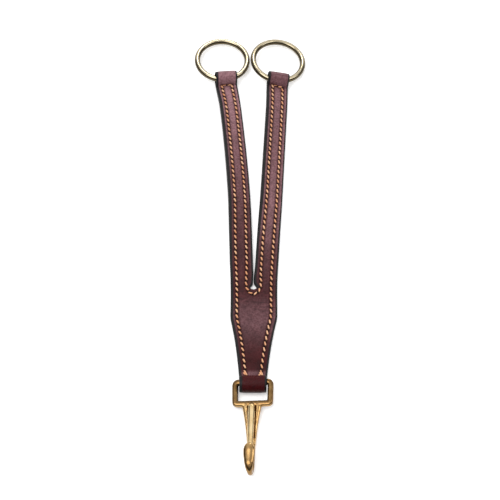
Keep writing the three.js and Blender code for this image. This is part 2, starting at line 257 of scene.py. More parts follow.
def loop_path(way, rise, turn_y, fold_y, tail_y):
    """The middle of a front layer in Y and Z: along the lining, over the ring or the eye, and back
    under. way is 1 where it runs up the strap and -1 where it runs down."""
    middle = LOOP_Z - LAYER / 2
    reach = way * (fold_y - turn_y) - LOOP_Z
    flat = STRAP - LAYER / 2
    top = LOOP_Z + middle
    slope = [(-0.90 * rise, flat), (-0.65 * rise, flat), (-0.62 * rise, top), (-0.12 * rise, top)]
    angle = np.linspace(math.pi / 2, -math.pi / 2, 60)
    turn = np.stack([reach + middle * np.cos(angle), LOOP_Z + middle * np.sin(angle)], 1)
    points = np.concatenate([
        [(way * (SEAM_Y - turn_y), flat)],
        bezier(slope, np.linspace(0, 1, 60)),
        turn,
        [(way * (tail_y - turn_y), LAYER / 2)],
    ])
    return points * (way, 1) + (turn_y, 0)


def flat_path(end_y):
    """The middle of a layer that lies on the table, from the seam to an end."""
    return [(SEAM_Y, LAYER / 2), (end_y, LAYER / 2)]


class Strap:
    """A strip of leather along a path in Y and Z.

    A place in it is x, s and n: x is across, s is the height where the strap is flat and runs on at
    the same rate round the loop, and n is the distance from its middle towards its shown face."""

    def __init__(self, path, way, face, edges, settle=None, turn_y=None):
        self.path = resampled(path, 0.1)
        self.way = way
        self.s = self.path[0, 0] + way * travelled_along(self.path)
        self.normal = face * way * turned(unit(np.gradient(self.path, axis=0)))
        self.left, self.right = edges
        self.settle = settle
        self.turn_y = turn_y

    def sample(self, values, s):
        order = np.argsort(self.s)
        return np.interp(s, self.s[order], values[order])

    def y(self, s):
        """The height at s. A strap is flat where it starts, and runs on straight before that."""
        before = np.minimum(self.way * (s - self.s[0]), 0)
        return self.sample(self.path[:, 0], s) + self.way * before

    def z(self, s):
        return self.sample(self.path[:, 1], s)

    def rounding(self, y):
        """How much its left and its right edge are rounded at a height: an arm's inner edge only
        from where the hole opens."""
        hole_foot = HOLE[1] - HOLE_RADIUS
        opened = ramp(y, (hole_foot, hole_foot + 0.6))
        return [opened if edge.func is inner_x else 1 + 0 * y for edge in (self.left, self.right)]

    def pared(self, s):
        """How much thinner the strap is at s, where it folds round a ring or the eye."""
        if self.turn_y is None:
            return 0 * s
        return PARED * smooth(self.way * (self.y(s) - self.turn_y) + PARED_FROM)

    def put(self, x, s, n):
        """Places in the strap as points in millimetres, twisted and skewed as the strap lies."""
        y = self.y(s) + n * self.sample(self.normal[:, 0], s)
        z = self.z(s) + n * self.sample(self.normal[:, 1], s)
        points = np.stack([x + 0 * y, y, z], -1)
        return self.settle(points) if self.settle else points


def settled(arm, points):
    """An arm's points as it lies, its left edge raised and its end skewed."""
    x, y, z = np.moveaxis(points, -1, 0)
    rolled = ramp(y, ARM_ROLLS)
    twist = ARM_TWIST + (ARMS[arm]["end_twist"] - ARM_TWIST) * ramp(y, ARM_UNROLLS)
    angle = np.radians(twist) * rolled
    edge = arm_x(arm, y) + ARM_WIDTH / 2
    skewed = y + ARMS[arm]["skew"] * (x - arm_x(arm, y)) * ramp(y, ARM_SKEWS)
    turned_x = edge + (x - edge) * np.cos(angle) + z * np.sin(angle) + ARM_SHIFT * rolled
    turned_z = z * np.cos(angle) - (x - edge) * np.sin(angle)
    return np.stack([turned_x, skewed, turned_z], -1)


# --- stitching rows, in x and s ---

PITCH = 4.15
ROW_INSET = 4.3
ROW_FOOT_Y = -51.8
# From a ring's turning line down to the outer and the inner end of the row that crosses below it.
CROSS_DROP = {
    "front": {"left": (5.2, 4.8), "right": (6.8, 4.8)},
    "back": {"left": (9.0, 9.0), "right": (9.0, 9.0)},
}
# The row's turn round the hole, and how far above it the row has reached the arm's own inset.
FORK_TURN = {"half_width": 5.1, "y": 15.5, "drop": 7.8, "rise": 20}


def side_row(arm, from_y, to_y):
    """Up the outer side of the yoke and of an arm."""
    y = np.linspace(from_y, to_y, 200)
    return np.stack([outer_x(arm, y) - ARMS[arm]["side"] * ROW_INSET, y], 1)


def inner_row(arm, cross_y):
    """Down the inner side of an arm, from the cross row to the turn round the hole."""
    side = ARMS[arm]["side"]
    foot = FORK_TURN["y"]
    y = np.linspace(cross_y, foot, 160)
    on_arm = arm_x(arm, y) - side * (ARM_WIDTH / 2 - ROW_INSET)
    at_turn = HOLE[0] + side * FORK_TURN["half_width"]
    x = at_turn + (on_arm - at_turn) * ramp(y, (foot, foot + FORK_TURN["rise"]))
    return np.stack([x, y], 1)


def fork_turn():
    angle = np.linspace(math.pi, 2 * math.pi, 40)
    x = HOLE[0] + FORK_TURN["half_width"] * np.cos(angle)
    y = FORK_TURN["y"] + FORK_TURN["drop"] * np.sin(angle)
    return np.stack([x, y], 1)


def ring_y(arm):
    return pivot(f"{arm}_ring_swing")[1]


def stitch_holes(face):
    """The holes of the one row that runs up one side, down and up round the fork, and down the
    other side, as a list of legs. face is front or back."""
    def arm_rows(arm):
        outer_y, inner_y = (ring_y(arm) - drop for drop in CROSS_DROP[face][arm])
        return side_row(arm, ROW_FOOT_Y, outer_y), inner_row(arm, inner_y)

    left_side, left_inner = arm_rows("left")
    right_side, right_inner = (row[::-1] for row in arm_rows("right"))
    legs = [
        left_side,
        np.stack([left_side[-1], left_inner[0]]),
        np.concatenate([left_inner, fork_turn()[1:-1], right_inner]),
        np.stack([right_inner[-1], right_side[0]]),
        right_side,
    ]
    return [resampled(leg, PITCH) for leg in legs]


def tree_of(points):
    tree = kdtree.KDTree(len(points))
    for i, (x, y) in enumerate(points):
        tree.insert((x, y, 0), i)
    tree.balance()
    return tree


def distances(tree, x, y):
    """How far each place is from the nearest point of a tree."""
    flat = [tree.find((a, b, 0))[2] for a, b in zip(x.ravel(), y.ravel())]
    return np.array(flat).reshape(x.shape)


def row_trees(legs):
    """Two trees, for the distance from the line of a row and from its holes."""
    line = np.concatenate([resampled(leg, 0.2) for leg in legs])
    return tree_of(line), tree_of(np.concatenate(legs))


FRONT_LEGS = stitch_holes("front")
BACK_LEGS = stitch_holes("back")
FRONT_TREES = row_trees(FRONT_LEGS)
BACK_TREES = row_trees(BACK_LEGS)

# --- leather ---

EDGE_ROUND = 0.9
EDGE_PAINTED = 1.0  # the paint reaches this far in from a right edge
PAINT_LEFT = 1.5  # and this many times as far in from a left edge
GLUED_PAINT = 0.6  # and this much further in on a glued face
FAR = 9.0  # further than any edge, row or hole has an effect
EDGE_STEPS = np.array([0.0, 0.07, 0.22, 0.45, 0.75, 1.1, 1.6])  # points this far in from an edge
GLUED_EVERY = 3  # a glued face has a point for every third one of the shown face
GROOVE = {"depth": 0.34, "half": 0.75}
PRICK = {"depth": 0.45, "half": 0.55}
PANEL_DROP = 0.22  # the leather outside the rows is pulled down by this much at its edge
FOLD_HEIGHTS = (4.2, 7.2)  # how high a strap's middle rises as it starts to fold
# How strong a painted sheen is at each height: a pale colour that stands in for the lights'
# reflection on the leather.
PAINTED_SHEEN = {
    "yoke": ((-55, 0.0), (-52, 0.5), (-50.5, 0.45), (-48, 0.03), (-42, 0.0), (-34, 0.05), (-26, 0.17),
             (-20, 0.30), (-14, 0.42), (-6, 0.38), (1, 0.25), (6, 0.12), (10, 0.08)),
    "left": ((10, 0.08), (40, 0.15), (60, 0.22), (100, 0.48), (130, 0.70), (175, 1.2),
             (183, 1.1), (187, 0.75), (191, 1.15), (200, 0.8)),
    "right": ((10, 0.1), (40, 0.24), (60, 0.62), (80, 0.78), (130, 0.68), (175, 0.8),
              (182, 0.7), (186, 0.4), (190, 0.75), (200, 0.5)),
}


def mesh_object(name, points, faces, smooth_angle=math.radians(50)):
    """A mesh piece from points in millimetres."""
    mesh = bpy.data.meshes.new(name)
    mesh.from_pydata((np.asarray(points) * MM).tolist(), [], faces)
    shell = bmesh.new()
    shell.from_mesh(mesh)
    bmesh.ops.recalc_face_normals(shell, faces=shell.faces)
    shell.to_mesh(mesh)
    shell.free()
    mesh.polygons.foreach_set("use_smooth", [True] * len(mesh.polygons))
    mesh.set_sharp_from_angle(angle=smooth_angle)
    return linked(name, mesh)


def give(piece, name, values, kind="FLOAT", field="value"):
    """Stores a number for each point of a piece, or what kind and field say."""
    attribute = piece.data.attributes.new(name, kind, "POINT")
    attribute.data.foreach_set(field, np.asarray(values, np.float32).ravel())


def ring_faces(rings, sides, count=None):
    """Faces of a tube that runs back into itself, or only the first of its lengths."""
    faces = []
    for i in range(count or rings):
        for j in range(sides):
            k, m = (i + 1) % rings, (j + 1) % sides
            faces.append((i * sides + j, i * sides + m, k * sides + m, k * sides + j))
    return faces


def tube_faces(rings, sides):
    """Faces of a closed tube: its sides and a cap at each end."""
    last = (rings - 1) * sides
    caps = [tuple(range(sides)), tuple(range(last, last + sides))]
    return ring_faces(rings, sides, rings - 1) + caps


def joined(solids):
    points, faces = [], []
    for solid_points, solid_faces in solids:
        offset = sum(len(p) for p in points)
        faces += [tuple(offset + k for k in face) for face in solid_faces]
        points.append(solid_points)
    return np.concatenate(points), faces


def across(left, right, inside):
    """Points across a strap, close together at its edges, and how far each is from both edges."""
    width = (right - left)[:, None]
    share = np.linspace(0, 1, inside + 2)[1:-1]
    between = EDGE_STEPS[-1] + share[None, :] * (width - 2 * EDGE_STEPS[-1])
    from_left = np.concatenate([
        EDGE_STEPS[None, :] + 0 * width,
        between,
        width - EDGE_STEPS[::-1][None, :],
    ], 1)
    return left[:, None] + from_left, from_left, width - from_left


def from_edges(from_left, from_right, rounding):
    """How far each point is from the nearest edge. An edge that isn't rounded counts as far off."""
    left_off, right_off = (FAR * (1 - rounded[:, None]) for rounded in rounding)
    return np.minimum(from_left + left_off, from_right + right_off)


def from_rows(strap, stations, x, rows, tail_rows):
    """How far each point is from the row and from its holes. A turned-under tail has its own."""
    near = [distances(tree, x, stations[:, None] + 0 * x) for tree in rows]
    if tail_rows:
        y = strap.y(stations)
        under = np.abs(stations - stations[0]) > abs(strap.path[:, 0] - stations[0]).max()
        tail_y = 0 * x[under] + y[under][:, None]
        for distance, tree in zip(near, tail_rows):
            distance[under] = distances(tree, x[under], tail_y)
    return near


def shown_face(edge, to_row, to_hole):
    """How far the shown face is from the middle of its layer: rounded, grooved and pricked."""
    cut = EDGE_ROUND - np.clip(edge, 0, EDGE_ROUND)
    drop = EDGE_ROUND - np.sqrt(EDGE_ROUND**2 - cut**2)
    relief = GROOVE["depth"] * np.exp(-((to_row / GROOVE["half"]) ** 2))
    relief += PRICK["depth"] * np.exp(-((to_hole / PRICK["half"]) ** 2))
    relief += PANEL_DROP * (1 - smooth(edge / ROW_INSET))
    return LAYER / 2 - drop - relief


def leather(name, strap, stations, inside, rows, painted_sheen, tail_rows=None):
    """A leather layer with a shown face and a plain glued face."""
    y = strap.y(stations)
    rounding = strap.rounding(y)
    x, from_left, from_right = across(strap.left(y), strap.right(y), inside)
    glued = np.s_[:, ::-GLUED_EVERY]
    to_row, to_hole = from_rows(strap, stations, x, rows, tail_rows)
    shown_n = shown_face(from_edges(from_left, from_right, rounding), to_row, to_hole)
    glued_n = strap.pared(stations)[:, None] - LAYER / 2 + 0 * x[glued]
    shown_paint = from_edges(from_left / PAINT_LEFT, from_right, rounding)
    glued_paint = np.minimum(from_left[glued], from_right[glued]) - GLUED_PAINT

    def both(shown, glued_values):
        return np.concatenate([shown, glued_values + 0 * x[glued]], 1)

    places_x = both(x, x[glued])
    places_n = both(shown_n, glued_n)
    places_s = stations[:, None] + 0 * places_x
    points = strap.put(places_x, places_s, places_n)
    piece = mesh_object(name, points.reshape(-1, 3), tube_faces(*places_x.shape))
    give(piece, "paint", both(shown_paint, glued_paint))
    give(piece, "row", both(to_row, FAR))
    give(piece, "hole", both(to_hole, FAR))
    give(piece, "fold", ramp(strap.z(places_s), FOLD_HEIGHTS))
    # the strength of the painted sheen at each point, by its height along the strap
    give(piece, "painted_sheen", np.interp(places_s, *zip(*painted_sheen)))
    places = np.stack([places_x, places_s, places_n], -1)
    give(piece, "grain_place", places, "FLOAT_VECTOR", "vector")
    return piece


def stations_along(strap, step, extra=()):
    """Places along a strap about a step apart, and the extra ones between them."""
    regular = np.linspace(strap.s[0], strap.s[-1], round(abs(strap.s[-1] - strap.s[0]) / step))
    kept = np.unique(np.round(np.concatenate([regular, extra]), 4))
    return kept[::strap.way]


def hole_stations():
    angle = np.linspace(0, math.pi / 2, 9)
    tear = np.linspace(0, HOLE_RADIUS / math.sin(TEAR), 14)
    return np.concatenate([HOLE[1] - HOLE_RADIUS * np.cos(angle), HOLE[1] + tear])


def yoke_straps():
    """The front layer and the lining of the yoke."""
    tail_y = EYE_LINING_Y - LINING_GAP
    front = loop_path(-1, EYE_RISE, EYE_Y, EYE_FOLD_Y - FOOT_SLACK, tail_y)
    return (Strap(front, -1, 1, YOKE_EDGES, turn_y=EYE_Y),
            Strap(flat_path(EYE_LINING_Y), -1, -1, YOKE_EDGES))


def arm_straps(arm):
    """The front layer and the lining of an arm."""
    fold_y = high(f"{arm}_arm_front")[1] - FOLD_TUCK[arm]
    lining_y = high(f"{arm}_arm_lining")[1]
    front = loop_path(1, RING_RISE, ring_y(arm), fold_y, lining_y + LINING_GAP)
    lies = partial(settled, arm)
    return (Strap(front, 1, 1, arm_edges(arm), lies, ring_y(arm)),
            Strap(flat_path(lining_y), 1, -1, arm_edges(arm), lies))


STRAPS = {"yoke": yoke_straps(), **{arm: arm_straps(arm) for arm in ARMS}}


def bend_with_arm(piece):
    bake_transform(piece)


def add_layers(part, body, inside, holes=()):
    """The front layer and the lining of the yoke or of an arm, with so many points across each."""
    front_strap, lining_strap = STRAPS[part]
    front = leather(f"{body}_leather", front_strap, stations_along(front_strap, 0.5, holes),
                    inside[0], FRONT_TREES, PAINTED_SHEEN[part], BACK_TREES)
    lining = leather(f"{body}_lining_leather", lining_strap,
                     stations_along(lining_strap, 0.6, holes), inside[1], BACK_TREES, PAINTED_SHEEN[part])
    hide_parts(f"{body}_front")
    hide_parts(f"{body}_lining")
    return front, lining


def add_yoke():
    layers = add_layers("yoke", "yoke", (52, 46))
    for piece in layers:
        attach(piece, "yoke")
    return layers


def add_arm(arm):
    layers = add_layers(arm, f"{arm}_arm", (26, 26), hole_stations())
    for piece in layers:
        bend_with_arm(piece)
    return layers


# --- stitching ---

THREAD = {"radius": 0.58, "thinning": 0.35, "flat": 0.85, "ply": 0.09, "twist": 10,
          "rise": 0.24, "dive": 1.1, "slant": 0.72, "inset": 0.03, "sides": 10, "rings": 11}
FRONT_BASE = LAYER / 2 - GROOVE["depth"]  # the foot of the groove that the thread lies in
BACK_BASE = FRONT_BASE - 0.42  # the thread of the back is pulled deeper


def stitch(start, end, base, slant, lift):
    """One slanted stitch from hole to hole, as places in x, s and n."""
    u = np.linspace(0, 1, THREAD["rings"])
    aside = -turned(unit(end - start))
    share = THREAD["inset"] + (1 - 2 * THREAD["inset"]) * u[:, None]
    middle = start + (end - start) * share + aside * slant * (1 - 2 * u[:, None])
    ends = np.abs(2 * u - 1)
    height = base + THREAD["rise"] + lift - THREAD["dive"] * ends**5
    radius = THREAD["radius"] * (1 - THREAD["thinning"] * ends**4)
    angle = round_angles(THREAD["sides"])
    ply = 1 + THREAD["ply"] * np.cos(2 * angle[None, :] - THREAD["twist"] * u[:, None])
    wide = radius[:, None] * ply * np.cos(angle)
    tall = THREAD["flat"] * radius[:, None] * ply * np.sin(angle)
    flat = middle[:, None, :] - wide[:, :, None] * aside
    return np.concatenate([flat, (height[:, None] + tall)[:, :, None]], -1), u


def part_at(place):
    """The part that a place in x and s is on."""
    if place[1] < SEAM_Y:
        return "yoke"
    return "left" if place[0] < HOLE[0] else "right"


def stitch_run(name, part, strap, legs, base, extra=()):
    """The stitches whose middles are on a part, as one mesh of many threads. The numbers are drawn
    for every stitch of the row."""
    rng = random.Random(sum(ord(letter) for letter in name))
    threads, tones, runs = [], [], []
    pairs = [(a, b) for leg in legs for a, b in zip(leg, leg[1:])]
    for start, end in [*pairs, *extra]:
        slant = THREAD["slant"] + rng.uniform(-0.08, 0.08)
        lift = rng.uniform(-0.04, 0.06)
        tone = rng.random()
        if part_at((start + end) / 2) != part:
            continue
        places, u = stitch(start, end, base, slant, lift)
        placed = strap.put(*np.moveaxis(places, -1, 0))
        rings, sides = placed.shape[:2]
        threads.append((placed.reshape(-1, 3), tube_faces(rings, sides)))
        tones.append(np.full(rings * sides, tone))
        runs.append(np.repeat(u, sides))
    piece = mesh_object(name, *joined(threads), math.radians(80))
    give(piece, "tone", np.concatenate(tones))
    give(piece, "run", np.concatenate(runs))
    return piece


def foot_stitches():
    """The doubled stitches that finish each end of the row, above the hook."""
    ends = []
    for leg in (FRONT_LEGS[0], FRONT_LEGS[-1][::-1]):
        first, second = leg[:2]
        shift = np.array([0.55, 0.0])
        ends.append((first + shift - (0, 0.9), second + shift - (0, 1.2)))
        ends.append((first - shift * 0.6 - (0, 0.6), second - shift - (0, 1.6)))
    inward = FRONT_LEGS[-1][-1]
    ends.append((inward + (-1.9, -1.3), inward + (-0.2, 0.6)))
    return ends


def add_stitches(face, label, legs, base, straps, extra=()):
    """One face of the row: the stitches of the yoke, and those of each arm."""
    in_yoke = stitch_run(f"yoke_{label}", "yoke", straps["yoke"], legs, base, extra)
    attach(in_yoke, "yoke")
    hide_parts(f"yoke_left_{face}_stitching", f"yoke_right_{face}_stitching",
                f"fork_{face}_stitching")
    pieces = [in_yoke]
    for arm in ARMS:
        row = stitch_run(f"{arm}_arm_{label}", arm, straps[arm], legs, base)
        bend_with_arm(row)
        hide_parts(f"{arm}_arm_{face}_stitching")
        pieces.append(row)
    return pieces


def add_front_stitches():
    straps = {part: front for part, (front, _) in STRAPS.items()}
    return add_stitches("front", "stitches", FRONT_LEGS, FRONT_BASE, straps, foot_stitches())


def add_back_stitches():
    """The back of the row, on one flat face: the lining and the turned-under tail both lie flat."""
    straps = {"yoke": Strap(flat_path(EYE_FOLD_Y), -1, -1, YOKE_EDGES)}
    for arm in ARMS:
        straps[arm] = Strap(flat_path(ring_y(arm)), 1, -1, arm_edges(arm), partial(settled, arm))
    return add_stitches("back", "back_stitches", BACK_LEGS, BACK_BASE, straps)


# --- rings ---

WIRE = 2.15
RING_RADIUS = (high("left_ring")[0] - low("left_ring")[0]) / 2 - WIRE + 0.2
RING_STEPS = (144, 28)  # points round a ring and round its wire
# How each ring lies: how far across and low it has slid in its loop, and how it is turned there.
RING_LIES = {
    "left": {"across": -1.3, "sag": 0.9, "tilt": 1.0, "roll": 2.5},
    "right": {"across": -0.8, "sag": 1.15, "tilt": 2.0, "roll": 7.0},
}


def ring_directions(arm, away):
    """Across a ring, out along it and up from it, as it lies in its loop."""
    lies = RING_LIES[arm]
    tilt = math.atan2(away[2], away[1]) + math.radians(lies["tilt"])
    roll = math.radians(lies["roll"])
    aside = np.array([math.cos(roll), 0, -math.sin(roll)])
    outwards = np.array([0, math.cos(tilt), math.sin(tilt)])
    outwards = unit(outwards - aside * (outwards @ aside))
    return aside, outwards, np.cross(aside, outwards)


def add_ring(arm):
    """A ring of slightly uneven wire through its loop, its far side resting low, and painted shade on
    its flanks.
    """
    lies = RING_LIES[arm]
    hinge = pivot(f"{arm}_ring_swing")
    away = (low(f"{arm}_ring") + high(f"{arm}_ring")) / 2 - hinge
    aside, outwards, up = ring_directions(arm, away)
    middle = hinge + (lies["across"], 0, 0) + outwards * (RING_RADIUS - lies["sag"])
    a = round_angles(RING_STEPS[0])[:, None]
    b = round_angles(RING_STEPS[1])[None, :]
    wire = WIRE * (1 + 0.005 * np.sin(3 * a + 1) + 0.004 * np.sin(7 * a))
    radius = RING_RADIUS - 0.04 * np.sin(a) ** 2 + wire * np.cos(b)
    lift = wire * np.sin(b) + 0 * a
    points = (middle + (radius * np.cos(a))[..., None] * aside
              + (radius * np.sin(a))[..., None] * outwards + lift[..., None] * up)
    piece = mesh_object(f"{arm}_ring_brass", points.reshape(-1, 3), ring_faces(*RING_STEPS))
    # painted shade: the flanks of the wire are darkened, standing in for the dark reflections a
    # polished ring shows there
    flank = smooth((np.abs(np.cos(b)) - 0.2) / 0.55) + 0 * a
    give(piece, "tarnish_and_shade", 0.9 * flank)
    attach(piece, f"{arm}_ring")
    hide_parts(f"{arm}_ring")
    return piece


# --- hook, in its own frame: the middle of the eye's top bar is its origin ---

HOOK_PITCH = 3.6  # degrees that the hook is tipped over the eye's bar
# The eye is 2 * top wide at its top bar and 2 * foot wide at its foot bar, which is at low.
EYE = {"top": 11.7, "foot": 11.4, "low": -14.7, "half": 1.95, "thick": 2.0,
       "round_top": 2.2, "round_foot": 0.8}
# The shank's half widths at three heights, and half its thickness.
SHANK = {"root": 7.0, "waist": 4.2, "end": 2.8, "half": 2.0}
SHANK_Y = {"root": -14.4, "waist": -25.0, "end": -42.0}
SHANK_X = -0.5
BEND = {"y": -55.8, "radius": 5.2, "half": 1.75}
TIP = {"y": -43.6, "half": 3.7, "thick": 1.3, "splay": 0.8}
LEAF = {"from_turn": 0.6, "closes": 0.72, "widens": 1.4}  # the tip starts in the bend
TONGUE = {"root": 2.4, "end": 1.7, "thick": 0.65, "barrel": 1.5, "dip": 0.6, "top_y": -14.4,
          "end_y": -48.0}
TONGUE_Z = {"root": 1.9, "end": 8.3}
CHANNEL = {"room": 0.6, "wall": 0.5, "floor": 0.3, "runs_out": 4}
RIVET = {"y": -17.5, "radius": 1.0, "head": 1.9, "height": 0.6, "sunk": 0.3}
BAR_SIDES = 28  # points round the bend, the tip and the tongue
RIVET_SIDES = 32


def in_part(points):
    """Points of the hook as points of the part, rolled and turned as the hinge is."""
    axis = JOINTS["hook_swing"]["axis"]
    roll = -math.asin(axis[2])
    yaw = math.atan2(axis[1], axis[0])
    turn = np.array(Euler((math.radians(HOOK_PITCH), roll, yaw), "XYZ").to_matrix())
    return points @ turn.T + np.array(Vector(pivot("hook_swing")))


def beside_eye(rings):
    """The shank and all that is on it stand a little off the middle of the eye."""
    return np.array(rings).reshape(-1, 3) + (SHANK_X, 0, 0)


def superellipse(sides, power):
    """A round-cornered section, 1 wide and 1 high each way."""
    angle = round_angles(sides)
    c, s = np.cos(angle), np.sin(angle)
    return np.sign(c) * np.abs(c) ** (2 / power), np.sign(s) * np.abs(s) ** (2 / power)


def section(across_bar, through, y, z, lean):
    """The outline of a bar at a place, its thickness leaning from +Z towards +Y."""
    return np.stack([across_bar, y + through * math.sin(lean), z + through * math.cos(lean)], 1)


def eye_line():
    """The middle line of the eye, its top corners round and its bottom corners sharper."""
    top, foot, down = EYE["top"], EYE["foot"], EYE["low"]
    corners = [np.array(corner) for corner in ((top, 0.0), (-top, 0.0), (-foot, down), (foot, down))]
    radii = [EYE["round_top"]] * 2 + [EYE["round_foot"]] * 2
    line = []
    for i, (corner, radius) in enumerate(zip(corners, radii)):
        start = corner + unit(corners[i - 1] - corner) * radius
        end = corner + unit(corners[(i + 1) % 4] - corner) * radius
        line.append(bezier([start, corner, end], np.linspace(0, 1, 9)))
    line = np.concatenate(line)
    return resampled(np.concatenate([line, line[:1]]), 1.0)[:-1]


def eye_solid():
    line = eye_line()
    aside = turned(unit(np.roll(line, -1, 0) - np.roll(line, 1, 0)))
    u, v = superellipse(20, 3.4)
    flat = line[:, None, :] + aside[:, None, :] * (EYE["half"] * u)[None, :, None]
    z = (EYE["thick"] * v)[None, :, None] + 0 * flat[..., :1]
    points = np.concatenate([flat, z], -1)
    return points.reshape(-1, 3), ring_faces(*points.shape[:2])


def tongue_half(y):
    share = (TONGUE["top_y"] - y) / (TONGUE["top_y"] - TONGUE["end_y"])
    return TONGUE["root"] + (TONGUE["end"] - TONGUE["root"]) * share


def shank_section(half, y, share):
    """The outline of the shank, with the channel for the tongue sunk in its front."""
    x = share * half
    round_off = (1 - np.abs(share) ** 6) ** (1 / 3)
    top = SHANK["half"] * round_off
    inside = smooth((tongue_half(y) + CHANNEL["room"] - np.abs(x)) / CHANNEL["wall"])
    sunk = inside * ramp(y, (SHANK_Y["end"], SHANK_Y["end"] + CHANNEL["runs_out"]))
    top = top - (top - CHANNEL["floor"]).clip(0) * sunk
    under = -SHANK["half"] * round_off[::-1]
    both_x = np.concatenate([x, x[::-1]])
    return np.stack([both_x, y + 0 * both_x, np.concatenate([top, under])], 1)


def shank_solid():
    stages = [(SHANK[k], SHANK_Y[k]) for k in ("root", "waist", "end")]
    share = np.linspace(-1, 1, 60)
    line = bezier(stages, np.linspace(0, 1, 40))
    rings = [shank_section(half, y, share) for half, y in line]
    return beside_eye(rings), tube_faces(len(rings), 2 * len(share))


def bend_place(s, start_y, straight, turn):
    """Y, Z and the lean of the bar at a distance along it: down, round the bend and up the tip."""
    if s < straight:
        return start_y - s, 0.0, -math.pi
    if s < straight + turn:
        angle = (s - straight) / BEND["radius"]
        y = BEND["y"] - BEND["radius"] * math.sin(angle)
        return y, BEND["radius"] * (1 - math.cos(angle)), angle - math.pi
    along = s - straight - turn
    splay = TIP["splay"] * (along / (TIP["y"] - BEND["y"])) ** 2
    return BEND["y"] + along, 2 * BEND["radius"] + splay, 0.0


def bend_size(to_turn, leaf):
    """Half the width and the thickness of the bar. to_turn becomes 1 in the middle of the bend, and
    leaf at the end of the tip."""
    closing = max(0.0, (leaf - LEAF["closes"]) / (1 - LEAF["closes"]))
    closing = math.sqrt(max(0.02, 1 - closing**2))
    bar = SHANK["end"] + (BEND["half"] - SHANK["end"]) * to_turn
    widening = math.sin(min(1.0, LEAF["widens"] * leaf) * math.pi / 2)
    wide = bar + (TIP["half"] - BEND["half"]) * widening
    thick = SHANK["half"] + (TIP["thick"] - SHANK["half"]) * leaf
    return wide * closing, thick * closing


def bend_and_tip_solid():
    """The round of the shank's end, the bend and the leaf-shaped tip, as one tapering bar."""
    start_y = SHANK_Y["end"] + CHANNEL["runs_out"]
    straight = start_y - BEND["y"]
    turn = math.pi * BEND["radius"]
    total = straight + turn + TIP["y"] - BEND["y"]
    leaf_from = straight + LEAF["from_turn"] * turn
    u, v = superellipse(BAR_SIDES, 2.2)
    rings = []
    for s in np.linspace(0, total, 90):
        to_turn = min(1.0, s / (straight + turn / 2))
        leaf = max(0.0, (s - leaf_from) / (total - leaf_from))
        wide, thick = bend_size(to_turn, leaf)
        rings.append(section(wide * u, thick * v, *bend_place(s, start_y, straight, turn)))
    return beside_eye(rings), tube_faces(len(rings), BAR_SIDES)


def cast(piece, voxel, passes):
    """Melts the solids of a piece into one skin and softens it, as a casting is."""
    remesh = piece.modifiers.new("melt", "REMESH")
    remesh.mode = "VOXEL"
    remesh.voxel_size = voxel * MM
    soften = piece.modifiers.new("soften", "SMOOTH")
    soften.iterations = passes
    soften.factor = 0.5
    seen = piece.evaluated_get(bpy.context.evaluated_depsgraph_get())
    mesh = bpy.data.meshes.new_from_object(seen)
    piece.modifiers.clear()
    piece.data = mesh
    mesh.polygons.foreach_set("use_smooth", [True] * len(mesh.polygons))


def hook_darkening(piece):
    """The eye is darker, and the leaf-shaped tip a little darker."""
    place = np.zeros(3 * len(piece.data.vertices))
    piece.data.vertices.foreach_get("co", place)
    down = EYE_Y - place[1::3] / MM
    foot = -EYE["low"]
    tip = -0.8 * BEND["y"]
    on_eye = 1 - ramp(down, (foot + 0.5, foot + 2.5))
    return 0.7 * on_eye + 0.45 * ramp(down, (tip, tip + 4))


def add_hook():
    points, faces = joined([eye_solid(), shank_solid(), bend_and_tip_solid()])
    piece = mesh_object("hook_brass_body", in_part(points), faces)
    cast(piece, 0.34, 9)
    give(piece, "tarnish_and_shade", hook_darkening(piece))
    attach(piece, "hook")
    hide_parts("hook_body")
    return piece


def tongue_section(t, u, v):
    """The outline of the tongue at a share of its length, its front barrelled and its ends closed."""
    length = TONGUE["top_y"] - TONGUE["end_y"]
    rise = TONGUE_Z["end"] - TONGUE_Z["root"]
    arch = math.sqrt(min(1.0, 0.02 + t / 0.08))
    close = math.sqrt(min(1.0, 0.05 + (1 - t) / 0.06))
    y = TONGUE["top_y"] - t * length
    z = TONGUE_Z["root"] + rise * t - TONGUE["dip"] * math.sin(math.pi * t)
    barrel = TONGUE["barrel"] + (TONGUE["thick"] - TONGUE["barrel"]) * t
    thick = np.where(v > 0, barrel * arch, TONGUE["thick"]) * close
    return section(tongue_half(y) * arch * close * u, thick * v, y, z, math.atan2(rise, length))


def add_tongue():
    """A sprung leaf from an arched end in the eye to the tip."""
    u, v = superellipse(BAR_SIDES, 2.0)
    rings = [tongue_section(t, u, v) for t in np.linspace(0, 1, 60)]
    piece = mesh_object("hook_brass_tongue", in_part(beside_eye(rings)),
                        tube_faces(len(rings), BAR_SIDES))
    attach(piece, "tongue")
    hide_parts("hook_tongue")
    return piece


def add_rivet():
    """The rivet that holds the tongue, its domed head at the back of the shank."""
    head, height, radius = RIVET["head"], RIVET["height"], RIVET["radius"]
    top = TONGUE_Z["root"] - TONGUE["thick"] - RIVET["sunk"]
    back = -SHANK["half"] - RIVET["sunk"]
    dome = np.linspace(0, math.pi / 2, 8)[1:]
    profile = [(0.02, back - height)]
    profile += [(head * math.sin(a), back - height * math.cos(a)) for a in dome]
    profile += [(radius, back + 0.05), (radius, top), (0.02, top)]
    angle = round_angles(RIVET_SIDES)
    rings = [np.stack([r * np.cos(angle), RIVET["y"] + r * np.sin(angle), z + 0 * angle], 1)
             for r, z in profile]
    piece = mesh_object("hook_brass_rivet", in_part(beside_eye(rings)),
                        tube_faces(len(rings), RIVET_SIDES))
    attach(piece, "hook")
    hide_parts("tongue_rivet")
    return piece


# --- materials ---

